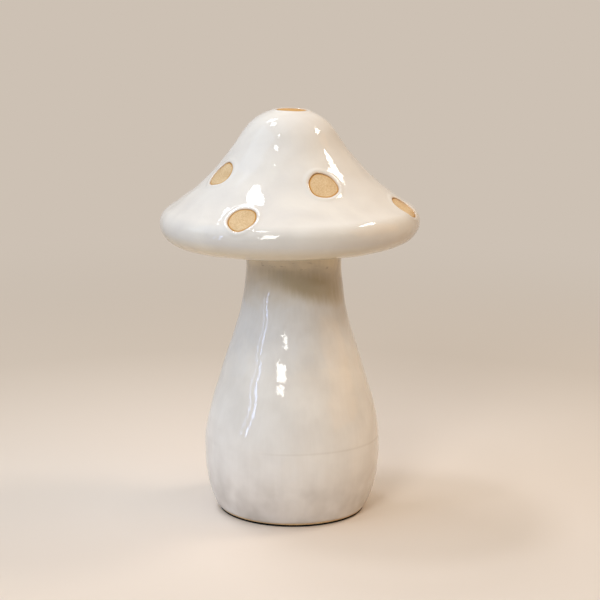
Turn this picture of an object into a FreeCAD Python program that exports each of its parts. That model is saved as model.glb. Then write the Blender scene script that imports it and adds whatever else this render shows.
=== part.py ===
"""Ceramic mushroom ornament: two hollow slip-cast pieces luted together, coated in gloss glaze.

Millimetres and degrees. +Z is up and the origin is the middle of the face that rests on the table.
The stalk stands on the Z axis. The cap was set on a little off square: it leans and sits
slightly to the left (-X) of the stalk. Both outlines are chains of tangent arcs, so a
surface that lies an even distance inside the glazed one keeps the same arc centres.
"""
import FreeCAD, Part
import math
import os
import Sketcher
from FreeCAD import Placement, Rotation, Vector

# Driving dimensions
SIZES = {
    # pad under the foot
    "pad_thick": 1.5,
    "pad_inset": 0.3,
    # glaze and clay
    "coat_thick": 0.8,
    "coat_gap": 0.1,
    "clay_wall": 4.5,
    # stalk, outline of its glazed surface
    "belly_radius": 61.1,
    "belly_height": 41.0,
    "under_belly_radius": 89.0,
    "over_belly_radius": 138.4,
    "neck_radius": 32.9,
    "neck_height": 178.1,
    "neck_flare_radius": 164.0,
    "neck_top": 192.0,
    "floor_thick": 6.0,
    "foot_ring_width": 9.0,
    "foot_recess": 1.5,
    "bare_foot_height": 1.1,
    "vent_radius": 3.0,
    # joint between stalk and cap
    "slip_thick": 1.5,
    "cap_lean": 1.2,
    "cap_shift": 2.9,
    "seat_clear": 0.3,
    # cap, outline of its glazed surface, heights above the neck's trimmed top
    "crown_height": 88.6,
    "crown_radius": 88.8,
    "crown_half_width": 6.3,
    "shoulder_radius": 32.7,
    "flank_radius": 161.6,
    "cap_radius": 89.2,
    "rim_radius": 12.2,
    "rim_height": 11.1,
    "lip_radius": 24.5,
    "lip_angle": 55.3,
    "underside_rise": 10.0,
    "cap_opening_radius": 20.0,
    # bare spots
    "spot_radius": 10.2,
    "top_spot_shift": 2.2,
    # how far every cutting shape runs past what it cuts
    "overrun": 5.0,
}

# Spots round the flank: name, azimuth from the front (-Y) towards the right (+X), and
# how far down the flank's arc the spot lies.
FLANK_SPOT_SHARES = (
    ("left_high", -62.5, 0.435),
    ("front_low", -22.7, 0.93),
    ("front_high", 24.2, 0.525),
    ("right_low", 75.7, 0.95),
    ("right_back_high", 118.0, 0.45),
    ("back_low", 163.0, 0.93),
    ("back_high", -152.0, 0.49),
    ("left_low", -107.0, 0.94),
)

# Surfaces that follow an outline, as distances inside the glazed surface
GLAZE_FACE = "0"
GLAZE_BACK = "Sizes.coat_thick"
CLAY_FACE = "(Sizes.coat_thick + Sizes.coat_gap)"
CLAY_BACK = "(Sizes.coat_thick + Sizes.coat_gap + Sizes.clay_wall)"

# A sketch counts its own axes down from -1, the level one with the origin first,
# and the points of an edge up from 1.
H_AXIS, V_AXIS = range(-1, -3, -1)
ORIGIN = H_AXIS
START, END, CENTRE = range(1, 4)


def inset_of(surface):
    """Distance in mm that a surface lies inside the glazed one."""
    coat = SIZES["coat_thick"] + SIZES["coat_gap"]
    return {
        GLAZE_FACE: 0.0,
        GLAZE_BACK: SIZES["coat_thick"],
        CLAY_FACE: coat,
        CLAY_BACK: coat + SIZES["clay_wall"],
    }[surface]


def along(angle, radius):
    """Vector of a length at an angle in radians, in the sketch plane."""
    return Vector(radius * math.cos(angle), radius * math.sin(angle), 0)


def make_sheet(doc):
    """Write every driving dimension to its own named cell."""
    sheet = doc.addObject("Spreadsheet::Sheet", "Sizes")
    for row, (name, value) in enumerate(SIZES.items(), start=1):
        sheet.set(f"A{row}", name)
        sheet.set(f"B{row}", str(value))
        sheet.setAlias(f"B{row}", name)
    doc.recompute()


def make_body(doc, name):
    """Start the body of one sub-part."""
    body = doc.addObject("PartDesign::Body", name)
    body.Label = name
    return body


def plane_of(body, role):
    """Find one of the body's own origin planes."""
    return next(item for item in body.Origin.OriginFeatures if item.Role == role)


def make_sketch(body, name, role, offset=None):
    """Put an empty sketch on an origin plane of the body, moved by an offset if one is given."""
    sketch = body.newObject("Sketcher::SketchObject", name)
    sketch.AttachmentSupport = [(plane_of(body, role), "")]
    sketch.MapMode = "FlatFace"
    if offset is not None:
        sketch.AttachmentOffset = offset
    return sketch


def bind(sketch, kind, *where, size):
    """Add a dimension to the sketch, driven by an expression of the sheet's cells."""
    sketch.addConstraint(Sketcher.Constraint(kind, *where, measure(sketch, kind, where)))
    sketch.setExpression(f"Constraints[{sketch.ConstraintCount - 1}]", size)


def measure(sketch, kind, where):
    """Read what a dimension measures on the geometry as it was drawn."""
    if kind == "Radius":
        return sketch.Geometry[where[0]].Radius
    first = sketch.getPoint(where[0], where[1])
    second = sketch.getPoint(where[2], where[3])
    return second.x - first.x if kind == "DistanceX" else second.y - first.y


def join(sketch, kind, *where):
    """Add a constraint that has no size."""
    sketch.addConstraint(Sketcher.Constraint(kind, *where))


def add_arc(sketch, centre, radius, start, end):
    """Draw an arc anticlockwise between two angles in radians."""
    circle = Part.Circle(centre, Vector(0, 0, 1), radius)
    return sketch.addGeometry(Part.ArcOfCircle(circle, start, end))


def add_line(sketch, start, end):
    """Draw a straight line."""
    return sketch.addGeometry(Part.LineSegment(start, end))


def add_chain(sketch, points):
    """Draw straight lines through the points, joined end to end."""
    lines = [add_line(sketch, a, b) for a, b in zip(points, points[1:])]
    for first, second in zip(lines, lines[1:]):
        join(sketch, "Coincident", first, END, second, START)
    return lines


def revolve(body, sketch):
    """Turn the sketch a full turn about the body's upright axis."""
    body.Document.recompute()
    turned = body.newObject("PartDesign::Revolution", "turned_wall")
    turned.Profile = sketch
    turned.ReferenceAxis = (sketch, ["V_Axis"])
    turned.Angle = 360
    body.Document.recompute()


def cut(body, sketch, reach=None, upwards=False):
    """Pocket the sketch: through everything on both sides, or to one side by a reach."""
    before = body.Shape.Volume
    pocket = body.newObject("PartDesign::Pocket", f"{sketch.Name}_cut")
    pocket.Profile = sketch
    if reach is None:
        pocket.Type = "ThroughAll"
        pocket.SideType = "Symmetric"
    else:
        pocket.Type = "Length"
        pocket.setExpression("Length", reach)
        pocket.Reversed = upwards
    body.Document.recompute()
    if not body.Shape.Volume < before:
        raise RuntimeError(f"{sketch.Name} cut nothing")


def stalk_outline(sketch, surface, low_height, low_size, top_height, top_size):
    """Draw the stalk's outline at one of its surfaces, from a low height to the neck's top.

    Returns the belly's lower arc, whose start is the low end, and the neck's upright line.
    """
    inset = inset_of(surface)
    belly_height = SIZES["belly_height"]
    lower_radius = SIZES["under_belly_radius"] - inset
    upper_radius = SIZES["over_belly_radius"] - inset
    flare_radius = SIZES["neck_flare_radius"] + inset
    lower_centre = Vector(SIZES["belly_radius"] - SIZES["under_belly_radius"], belly_height, 0)
    upper_centre = Vector(SIZES["belly_radius"] - SIZES["over_belly_radius"], belly_height, 0)
    flare_centre = Vector(SIZES["neck_radius"] + SIZES["neck_flare_radius"], SIZES["neck_height"], 0)

    # The straight run is the crossed tangent of the belly's upper arc and the neck's flare.
    between = flare_centre - upper_centre
    slant = math.atan2(between.y, between.x) - math.acos((upper_radius + flare_radius) / between.Length)
    low_angle = math.asin((low_height - belly_height) / lower_radius)
    neck_foot = flare_centre - Vector(flare_radius, 0, 0)

    lower = add_arc(sketch, lower_centre, lower_radius, low_angle, 0)
    upper = add_arc(sketch, upper_centre, upper_radius, 0, slant)
    run = add_line(
        sketch,
        upper_centre + along(slant, upper_radius),
        flare_centre - along(slant, flare_radius),
    )
    flare = add_arc(sketch, flare_centre, flare_radius, math.pi, math.pi + slant)
    neck = add_line(sketch, neck_foot, Vector(neck_foot.x, top_height, 0))

    join(sketch, "Horizontal", lower, CENTRE, lower, END)
    join(sketch, "Coincident", upper, START, lower, END)
    join(sketch, "Horizontal", upper, CENTRE, upper, START)
    join(sketch, "Tangent", upper, END, run, START)
    join(sketch, "Tangent", run, END, flare, END)
    join(sketch, "Horizontal", flare, CENTRE, flare, START)
    join(sketch, "Coincident", neck, START, flare, START)
    join(sketch, "Vertical", neck)
    bind(sketch, "Radius", lower, size=f"Sizes.under_belly_radius - {surface}")
    bind(sketch, "Radius", upper, size=f"Sizes.over_belly_radius - {surface}")
    bind(sketch, "Radius", flare, size=f"Sizes.neck_flare_radius + {surface}")
    bind(sketch, "DistanceY", ORIGIN, START, lower, CENTRE, size="Sizes.belly_height")
    bind(sketch, "DistanceX", ORIGIN, START, lower, END, size=f"Sizes.belly_radius - {surface}")
    bind(sketch, "DistanceY", ORIGIN, START, lower, START, size=low_size)
    bind(sketch, "DistanceY", ORIGIN, START, flare, CENTRE, size="Sizes.neck_height")
    bind(sketch, "DistanceX", ORIGIN, START, flare, START, size=f"Sizes.neck_radius - {surface}")
    bind(sketch, "DistanceY", ORIGIN, START, neck, END, size=top_size)
    return lower, neck


def cap_centres():
    """Work out the centres of the cap's arcs from crown to lip, and the crown's angle."""
    shoulder_step = SIZES["crown_radius"] - SIZES["shoulder_radius"]
    crown_angle = math.acos(SIZES["crown_half_width"] / SIZES["crown_radius"])
    crown = Vector(0, SIZES["crown_height"] - SIZES["crown_radius"], 0)
    shoulder = crown + along(crown_angle, shoulder_step)
    rim = Vector(SIZES["cap_radius"] - SIZES["rim_radius"], SIZES["rim_height"], 0)
    lip_angle = -math.radians(SIZES["lip_angle"])
    lip = rim - along(lip_angle, SIZES["lip_radius"] - SIZES["rim_radius"])

    # The flank's centre lies outside, where it touches both the shoulder and the rim.
    to_shoulder = SIZES["flank_radius"] + SIZES["shoulder_radius"]
    to_rim = SIZES["flank_radius"] + SIZES["rim_radius"]
    apart = (rim - shoulder).Length
    share = (to_shoulder**2 - to_rim**2 + apart**2) / (2 * apart**2)
    height = math.sqrt(to_shoulder**2 - (share * apart) ** 2)
    base = shoulder + (rim - shoulder) * share
    across = along(math.atan2(rim.y - shoulder.y, rim.x - shoulder.x) + math.pi / 2, height)
    return crown, shoulder, base + across, rim, lip, crown_angle


def angle_between(start, end):
    """Angle in radians of the way from one point to another."""
    return math.atan2(end.y - start.y, end.x - start.x)


def cap_outline(sketch, surface, opening, opening_size):
    """Draw the cap's outline at one of its surfaces, from the crown round the rim to the opening.

    Returns the crown's arc, whose end lies on the axis, and the seat's flat line.
    """
    inset = inset_of(surface)
    crown_c, shoulder_c, flank_c, rim_c, lip_c, crown_angle = cap_centres()
    upper_angle = angle_between(shoulder_c, flank_c)
    lower_angle = angle_between(rim_c, flank_c)
    lip_angle = -math.radians(SIZES["lip_angle"])
    rise = math.radians(SIZES["underside_rise"])
    lip_radius = SIZES["lip_radius"] - inset
    seat_height = SIZES["slip_thick"] - inset_of(CLAY_FACE) + inset
    lip_end = lip_c + along(-math.pi / 2 - rise, lip_radius)
    seat_edge = Vector(lip_end.x - (seat_height - lip_end.y) / math.tan(rise), seat_height, 0)

    crown = add_arc(sketch, crown_c, SIZES["crown_radius"] - inset, crown_angle, math.pi / 2)
    shoulder = add_arc(
        sketch, shoulder_c, SIZES["shoulder_radius"] - inset, upper_angle, crown_angle
    )
    flank = add_arc(
        sketch,
        flank_c,
        SIZES["flank_radius"] + inset,
        upper_angle + math.pi,
        lower_angle + math.pi,
    )
    rim = add_arc(sketch, rim_c, SIZES["rim_radius"] - inset, lip_angle, lower_angle)
    lip = add_arc(sketch, lip_c, lip_radius, -math.pi / 2 - rise, lip_angle)
    under, seat = add_chain(sketch, [lip_end, seat_edge, Vector(opening, seat_height, 0)])

    join(sketch, "PointOnObject", crown, CENTRE, V_AXIS)
    join(sketch, "PointOnObject", crown, END, V_AXIS)
    join(sketch, "Tangent", shoulder, END, crown, START)
    join(sketch, "Tangent", flank, START, shoulder, START)
    join(sketch, "Tangent", flank, END, rim, END)
    join(sketch, "Tangent", lip, END, rim, START)
    join(sketch, "Tangent", lip, START, under, START)
    join(sketch, "Horizontal", seat)
    rim_out = "Sizes.cap_radius - Sizes.rim_radius"
    bind(sketch, "Radius", crown, size=f"Sizes.crown_radius - {surface}")
    bind(sketch, "Radius", shoulder, size=f"Sizes.shoulder_radius - {surface}")
    bind(sketch, "Radius", flank, size=f"Sizes.flank_radius + {surface}")
    bind(sketch, "Radius", rim, size=f"Sizes.rim_radius - {surface}")
    bind(sketch, "Radius", lip, size=f"Sizes.lip_radius - {surface}")
    bind(sketch, "DistanceY", ORIGIN, START, crown, END, size=f"Sizes.crown_height - {surface}")
    bind(
        sketch, "DistanceX", ORIGIN, START, shoulder, CENTRE,
        size="Sizes.crown_half_width * (1 - Sizes.shoulder_radius / Sizes.crown_radius)",
    )
    bind(sketch, "DistanceX", ORIGIN, START, rim, CENTRE, size=rim_out)
    bind(sketch, "DistanceY", ORIGIN, START, rim, CENTRE, size="Sizes.rim_height")
    bind(
        sketch, "DistanceX", ORIGIN, START, lip, CENTRE,
        size=f"{rim_out} - (Sizes.lip_radius - Sizes.rim_radius) * cos(Sizes.lip_angle * 1deg)",
    )
    bind(
        sketch, "DistanceX", lip, START, lip, CENTRE,
        size=f"(Sizes.lip_radius - {surface}) * sin(Sizes.underside_rise * 1deg)",
    )
    bind(
        sketch, "DistanceY", ORIGIN, START, seat, START,
        size=f"Sizes.slip_thick - {CLAY_FACE} + {surface}",
    )
    bind(sketch, "DistanceX", ORIGIN, START, seat, END, size=opening_size)
    return crown, seat


def trim_neck(body, raised, raised_size):
    """Cut the neck off along the slope that the cap leans at, a little above the clay's top or on it."""
    reach = SIZES["neck_radius"] + SIZES["overrun"]
    slope = math.tan(math.radians(SIZES["cap_lean"]))
    middle = SIZES["neck_top"] + raised
    left = Vector(-reach, middle - reach * slope, 0)
    right = Vector(reach, middle + reach * slope, 0)
    above = middle + reach
    corners = [left, right, Vector(reach, above, 0), Vector(-reach, above, 0), left]
    sketch = make_sketch(body, "neck_trim", "XZ_Plane")
    lines = add_chain(sketch, corners)
    join(sketch, "Coincident", lines[-1], END, lines[0], START)

    reach_size = "(Sizes.neck_radius + Sizes.overrun)"
    drop_size = f"{reach_size} * tan(Sizes.cap_lean * 1deg)"
    middle_size = f"Sizes.neck_top + {raised_size}"
    places = (
        (f"-{reach_size}", f"{middle_size} - {drop_size}"),
        (reach_size, f"{middle_size} + {drop_size}"),
        (reach_size, f"{middle_size} + {reach_size}"),
        (f"-{reach_size}", f"{middle_size} + {reach_size}"),
    )
    for line, (across, up) in zip(lines, places):
        bind(sketch, "DistanceX", ORIGIN, START, line, START, size=across)
        bind(sketch, "DistanceY", ORIGIN, START, line, START, size=up)
    cut(body, sketch)


def neck_length():
    """Height that the neck is drawn to before its top is trimmed, with its expression."""
    height = SIZES["neck_top"] + SIZES["neck_radius"] * math.tan(math.radians(SIZES["cap_lean"]))
    size = "Sizes.neck_top + Sizes.neck_radius * tan(Sizes.cap_lean * 1deg)"
    extra = "Sizes.slip_thick + Sizes.overrun / 2"
    return height + SIZES["slip_thick"] + SIZES["overrun"] / 2, f"{size} + {extra}"


def foot_radius_size():
    """Expression for the radius of the clay's foot where it meets the pad."""
    return (
        "Sizes.belly_radius - Sizes.under_belly_radius"
        f" + sqrt((Sizes.under_belly_radius - {CLAY_FACE})^2"
        " - (Sizes.belly_height - Sizes.pad_thick)^2)"
    )


def foot_radius():
    """Radius of the clay's foot where it meets the pad."""
    arc = SIZES["under_belly_radius"] - inset_of(CLAY_FACE)
    drop = SIZES["belly_height"] - SIZES["pad_thick"]
    return SIZES["belly_radius"] - SIZES["under_belly_radius"] + math.sqrt(arc**2 - drop**2)


def add_disc(sketch, radius, radius_size, across=0.0, across_size=None):
    """Draw a circle on the sketch's horizontal axis."""
    disc = sketch.addGeometry(Part.Circle(Vector(across, 0, 0), Vector(0, 0, 1), radius))
    bind(sketch, "Radius", disc, size=radius_size)
    if across_size is None:
        join(sketch, "Coincident", disc, CENTRE, ORIGIN, START)
    else:
        join(sketch, "PointOnObject", disc, CENTRE, H_AXIS)
        bind(sketch, "DistanceX", ORIGIN, START, disc, CENTRE, size=across_size)
    return disc


def pad_up(body, sketch, thick_size):
    """Raise the sketch by a thickness."""
    body.Document.recompute()
    raised = body.newObject("PartDesign::Pad", "sheet_thickness")
    raised.Profile = sketch
    raised.setExpression("Length", thick_size)
    body.Document.recompute()


def make_base_pad(doc):
    """Black felt disc stuck under the foot, a little smaller than the clay."""
    body = make_body(doc, "base_pad")
    sketch = make_sketch(body, "disc", "XY_Plane")
    add_disc(sketch, foot_radius() - SIZES["pad_inset"], f"{foot_radius_size()} - Sizes.pad_inset")
    pad_up(body, sketch, "Sizes.pad_thick")
    return body


def make_stalk_body(doc):
    """Hollow stalk with a floor, a foot ring round a shallow recess, and a vent hole."""
    body = make_body(doc, "stalk_body")
    sketch = make_sketch(body, "wall_profile", "XZ_Plane")
    top, top_size = neck_length()
    bottom = SIZES["pad_thick"]
    floor = bottom + SIZES["floor_thick"]
    floor_size = "Sizes.pad_thick + Sizes.floor_thick"
    outer, outer_neck = stalk_outline(sketch, CLAY_FACE, bottom, "Sizes.pad_thick", top, top_size)
    inner, inner_neck = stalk_outline(sketch, CLAY_BACK, floor, floor_size, top, top_size)

    ring = foot_radius() - SIZES["foot_ring_width"]
    roof = bottom + SIZES["foot_recess"]
    vent = SIZES["vent_radius"]
    foot = add_chain(sketch, [
        sketch.getPoint(outer, START),
        Vector(ring, bottom, 0),
        Vector(ring, roof, 0),
        Vector(vent, roof, 0),
        Vector(vent, floor, 0),
        sketch.getPoint(inner, START),
    ])
    mouth = add_line(sketch, sketch.getPoint(outer_neck, END), sketch.getPoint(inner_neck, END))
    join(sketch, "Coincident", foot[0], START, outer, START)
    join(sketch, "Coincident", foot[-1], END, inner, START)
    join(sketch, "Coincident", mouth, START, outer_neck, END)
    join(sketch, "Coincident", mouth, END, inner_neck, END)
    for line, way in zip(foot, ("Horizontal", "Vertical") * 2 + ("Horizontal",)):
        join(sketch, way, line)
    bind(sketch, "DistanceX", foot[0], END, foot[0], START, size="Sizes.foot_ring_width")
    bind(sketch, "DistanceY", foot[1], START, foot[1], END, size="Sizes.foot_recess")
    bind(sketch, "DistanceX", ORIGIN, START, foot[3], START, size="Sizes.vent_radius")
    revolve(body, sketch)
    trim_neck(body, 0.0, "0")
    return body


def make_stalk_glaze(doc):
    """Glaze on the outside of the stalk, from just above the foot up to the cap's seat."""
    body = make_body(doc, "stalk_glaze")
    sketch = make_sketch(body, "coat_profile", "XZ_Plane")
    top, top_size = neck_length()
    low = SIZES["pad_thick"] + SIZES["bare_foot_height"]
    low_size = "Sizes.pad_thick + Sizes.bare_foot_height"
    outer, outer_neck = stalk_outline(sketch, GLAZE_FACE, low, low_size, top, top_size)
    inner, inner_neck = stalk_outline(sketch, GLAZE_BACK, low, low_size, top, top_size)
    edge = add_line(sketch, sketch.getPoint(outer, START), sketch.getPoint(inner, START))
    mouth = add_line(sketch, sketch.getPoint(outer_neck, END), sketch.getPoint(inner_neck, END))
    join(sketch, "Coincident", edge, START, outer, START)
    join(sketch, "Coincident", edge, END, inner, START)
    join(sketch, "Coincident", mouth, START, outer_neck, END)
    join(sketch, "Coincident", mouth, END, inner_neck, END)
    revolve(body, sketch)
    trim_neck(
        body,
        SIZES["slip_thick"] - SIZES["coat_gap"],
        "Sizes.slip_thick - Sizes.coat_gap",
    )
    return body


def set_on_neck(body, across_size="0"):
    """Seat a body on the neck's trimmed top, leaning, and slid along it to the left."""
    lean = "(Sizes.cap_lean * 1deg)"
    body.setExpression(
        "Placement",
        f"create(<<placement>>; create(<<vector>>; -{across_size} * cos{lean}; 0;"
        f" Sizes.neck_top - {across_size} * sin{lean});"
        " create(<<rotation>>; 0; -Sizes.cap_lean; 0))",
    )
    body.Document.recompute()


def make_slip_seam(doc):
    """Ring of dried slip that lutes the cap to the neck."""
    body = make_body(doc, "slip_seam")
    sketch = make_sketch(body, "ring", "XY_Plane")
    outside = SIZES["neck_radius"] - inset_of(CLAY_FACE)
    inside = SIZES["neck_radius"] - inset_of(CLAY_BACK)
    add_disc(sketch, outside, f"Sizes.neck_radius - {CLAY_FACE}")
    add_disc(sketch, inside, f"Sizes.neck_radius - {CLAY_BACK}")
    pad_up(body, sketch, "Sizes.slip_thick")
    set_on_neck(body)
    return body


def make_cap_wall(doc, name, face, back):
    """Turn the cap's wall between two of its surfaces."""
    body = make_body(doc, name)
    sketch = make_sketch(body, "wall_profile", "XZ_Plane")
    opening = SIZES["cap_opening_radius"]
    outer, outer_seat = cap_outline(sketch, face, opening, "Sizes.cap_opening_radius")
    inner, inner_seat = cap_outline(sketch, back, opening, "Sizes.cap_opening_radius")
    crown = add_line(sketch, sketch.getPoint(outer, END), sketch.getPoint(inner, END))
    mouth = add_line(sketch, sketch.getPoint(outer_seat, END), sketch.getPoint(inner_seat, END))
    join(sketch, "Coincident", crown, START, outer, END)
    join(sketch, "Coincident", crown, END, inner, END)
    join(sketch, "Coincident", mouth, START, outer_seat, END)
    join(sketch, "Coincident", mouth, END, inner_seat, END)
    revolve(body, sketch)
    return body


def make_cap_body(doc):
    """Hollow cap, cast with an opening in its flat seat."""
    body = make_cap_wall(doc, "cap_body", CLAY_FACE, CLAY_BACK)
    set_on_neck(body, "Sizes.cap_shift")
    return body


def flank_spot(azimuth, share):
    """Place a sketch plane outside the flank, square to it, at a share of the flank's arc."""
    _, shoulder, flank, rim, _, _ = cap_centres()
    upper = angle_between(shoulder, flank)
    lower = angle_between(rim, flank)
    normal = upper + share * (lower - upper)
    on_flank = flank - along(normal, SIZES["flank_radius"])
    raised = on_flank + along(normal, SIZES["spot_radius"])
    turned = Rotation(Vector(0, 0, 1), azimuth - 90)
    tilted = Rotation(Vector(0, 1, 0), 90 - math.degrees(normal))
    return Placement(turned.multVec(Vector(raised.x, 0, raised.y)), turned * tilted)


def make_cap_glaze(doc):
    """Glaze on the outside of the cap, with round windows where the clay was left bare."""
    body = make_cap_wall(doc, "cap_glaze", GLAZE_FACE, GLAZE_BACK)
    neck = make_sketch(body, "neck_hole", "XY_Plane")
    add_disc(
        neck,
        SIZES["neck_radius"] + SIZES["seat_clear"],
        "Sizes.neck_radius + Sizes.seat_clear",
        SIZES["cap_shift"],
        "Sizes.cap_shift",
    )
    cut(body, neck, reach="Sizes.slip_thick", upwards=True)

    above = Placement(Vector(0, 0, SIZES["crown_height"] + SIZES["spot_radius"]), Rotation())
    top = make_sketch(body, "top_spot", "XY_Plane", above)
    add_disc(
        top, SIZES["spot_radius"], "Sizes.spot_radius",
        SIZES["top_spot_shift"], "Sizes.top_spot_shift",
    )
    cut(body, top, reach="2 * Sizes.spot_radius")
    for name, azimuth, share in FLANK_SPOT_SHARES:
        spot = make_sketch(body, f"{name}_spot", "XY_Plane", flank_spot(azimuth, share))
        add_disc(spot, SIZES["spot_radius"], "Sizes.spot_radius")
        cut(body, spot, reach="2 * Sizes.spot_radius")
    set_on_neck(body, "Sizes.cap_shift")
    return body


def check(doc, bodies):
    """Stop if anything failed to build or a sub-part isn't one sound solid."""
    for item in doc.Objects:
        if "Invalid" in item.State or "Error" in item.State:
            raise RuntimeError(f"{item.Name} failed: {item.State}")
    for body in bodies:
        shape = body.Shape
        if shape.isNull() or not shape.isValid() or len(shape.Solids) != 1:
            raise RuntimeError(f"{body.Label} is not one sound solid")


def main():
    """Build every sub-part and write each to a STEP file of its own name."""
    doc = FreeCAD.newDocument("ceramic_mushroom")
    make_sheet(doc)
    bodies = [
        make_base_pad(doc),
        make_stalk_body(doc),
        make_stalk_glaze(doc),
        make_slip_seam(doc),
        make_cap_body(doc),
        make_cap_glaze(doc),
    ]
    doc.recompute()
    check(doc, bodies)
    os.makedirs("parts", exist_ok=True)
    for body in bodies:
        body.Shape.exportStep(f"parts/{body.Label}.step")
        box = body.Shape.BoundBox
        print(f"{body.Label}: {body.Shape.Volume / 1000:.1f} cm3, z {box.ZMin:.2f} to {box.ZMax:.2f}")


main()
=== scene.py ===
"""Ceramic mushroom ornament: glaze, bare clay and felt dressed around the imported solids.

Sizes are in millimetres and meshes in metres. +Z is up, the object stands on the middle of its
foot, and azimuths run from the front (-Y) towards the right (+X).
"""
import logging
import math
from dataclasses import dataclass
from enum import Enum

import bpy
import numpy as np
from mathutils import Matrix, Vector


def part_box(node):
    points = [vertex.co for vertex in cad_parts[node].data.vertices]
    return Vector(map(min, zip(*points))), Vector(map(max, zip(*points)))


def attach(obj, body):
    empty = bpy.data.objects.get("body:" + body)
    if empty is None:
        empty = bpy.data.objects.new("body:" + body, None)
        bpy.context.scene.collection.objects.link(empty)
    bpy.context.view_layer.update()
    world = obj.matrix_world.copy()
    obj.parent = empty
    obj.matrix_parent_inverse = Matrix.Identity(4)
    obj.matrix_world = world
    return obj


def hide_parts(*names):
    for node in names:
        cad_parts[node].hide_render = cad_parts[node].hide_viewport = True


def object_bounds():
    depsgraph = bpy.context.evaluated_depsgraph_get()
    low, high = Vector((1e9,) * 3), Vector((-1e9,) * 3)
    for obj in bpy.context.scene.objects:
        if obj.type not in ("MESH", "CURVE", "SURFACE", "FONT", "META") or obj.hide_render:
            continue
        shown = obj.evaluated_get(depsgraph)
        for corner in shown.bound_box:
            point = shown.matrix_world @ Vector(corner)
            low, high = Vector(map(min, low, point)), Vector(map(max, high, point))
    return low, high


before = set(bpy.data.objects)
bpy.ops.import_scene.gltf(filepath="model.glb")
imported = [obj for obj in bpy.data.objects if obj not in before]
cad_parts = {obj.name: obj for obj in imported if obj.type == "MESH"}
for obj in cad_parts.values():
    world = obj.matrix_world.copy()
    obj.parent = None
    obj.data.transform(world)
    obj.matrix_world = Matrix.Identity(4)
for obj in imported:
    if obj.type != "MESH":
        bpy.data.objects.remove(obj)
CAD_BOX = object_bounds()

Array = np.ndarray
Material = bpy.types.Material
Piece = bpy.types.Object
Socket = bpy.types.NodeSocket
Pair = tuple[float, float]
Triple = tuple[float, float, float]
Stops = tuple[tuple[float, str], ...]

MM = 0.001
LOG = logging.getLogger("mushroom")
# A Mix node set to colours takes them on sockets 6 and 7 and gives the mix on output 2.
COLOURS = {"data_type": "RGBA", "out": 2}
SOFT = {"interpolation_type": "SMOOTHSTEP"}


class Slot(Enum):
    """Names of the material slots of the record."""

    FELT = "felt"
    CLAY = "bare_clay"
    SLIP = "slip"
    STALK_GLOSS = "stalk_gloss"
    CAP_GLOSS = "cap_gloss"


class Fill(Enum):
    """What a surface does inside a spot: stops at its edge, or goes on as bare clay."""

    WINDOW = "window"
    CLAY = "clay"


def linear(code: str) -> tuple[float, float, float, float]:
    """Turn an sRGB hex colour into linear light, by the curve that the sRGB standard gives.

    Args:
        code: Colour as #RRGGBB.

    Returns:
        Red, green, blue and an alpha of 1.
    """
    parts = np.array([int(code[i : i + 2], 16) for i in (1, 3, 5)]) / 255
    light = np.where(parts <= 0.04045, parts / 12.92, ((parts + 0.055) / 1.055) ** 2.4)
    return (*map(float, light), 1.0)


def ease(share: Array) -> Array:
    """Go smoothly from 0 to 1: three times the square less twice the cube of the share."""
    share = np.clip(share, 0.0, 1.0)
    return share * share * (3 - 2 * share)


def quarter_round(share: Array) -> Array:
    """Drop from 1 to 0 along a quarter circle: 1 less the root of 1 less (1 - share) squared."""
    left = 1 - np.clip(share, 0.0, 1.0)
    return 1 - np.sqrt(1 - left * left)


def pair(point: complex) -> Pair:
    """Give a point of the outline's plane as radius and height."""
    return float(point.real), float(point.imag)


def around(columns: int) -> Array:
    """Space columns evenly round the axis: their azimuths in radians, the first at the front."""
    return np.arange(columns) * math.tau / columns


def turned(radius: Array, height: Array, azimuth: Array) -> Array:
    """Turn about the axis: x is radius times sine, y minus radius times cosine, z the height."""
    return np.stack([radius * np.sin(azimuth), -radius * np.cos(azimuth), height + 0 * azimuth], -1)


def quads(first: Array, second: Array) -> Array:
    """Join closed rings: numbers i and i + 1 of the first to i + 1 and i of the second."""
    return np.stack([first, np.roll(first, -1, -1), np.roll(second, -1, -1), second], -1)


def into_scene(name: str, data: bpy.types.ID) -> Piece:
    """Make an object and link it to the scene.

    Args:
        name: Name of the object.
        data: Its mesh, light or camera.

    Returns:
        The object.
    """
    made = bpy.data.objects.new(name, data)
    bpy.context.scene.collection.objects.link(made)
    return made


@dataclass(frozen=True)
class Waves:
    """Soft unevenness left by hands: the mean of many plane cosine waves in random directions.

    Height at a point is the sum over the waves of cos(k . point + phase), over the root of
    half their number, so it has a spread of about 1.
    """

    shortest: float
    longest: float
    seed: int
    count: int = 36

    def at(self, points: Array) -> Array:
        """Work out the height at each point.

        Args:
            points: Places in mm, with x, y and z along the last axis.

        Returns:
            One height for each point.
        """
        draw = np.random.default_rng(self.seed)
        way = draw.normal(size=(self.count, 3))
        way /= np.linalg.norm(way, axis=1, keepdims=True)
        length = np.exp(draw.uniform(math.log(self.shortest), math.log(self.longest), self.count))
        phase = draw.uniform(0, math.tau, self.count)
        turns = points @ (way * (math.tau / length)[:, None]).T + phase
        return np.cos(turns).sum(-1) / math.sqrt(self.count / 2)


@dataclass(frozen=True)
class Arc:
    """Arc of an outline in the plane of radius and height, from one angle in radians to another."""

    centre: Pair
    radius: float
    start: float
    end: float

    def sample(self, step: float) -> tuple[Array, Array]:
        """Points are centre + radius * (cos, sin) of the angle; a hollow arc's normal is inward.

        Args:
            step: Longest distance between points.

        Returns:
            Points and outward normals, two columns each.
        """
        count = 2 + int(abs(self.end - self.start) * abs(self.radius) / step)
        angle = np.linspace(self.start, self.end, count)
        way = np.stack([np.cos(angle), np.sin(angle)], 1)
        return np.array(self.centre) + abs(self.radius) * way, way * np.sign(self.radius)


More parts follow.
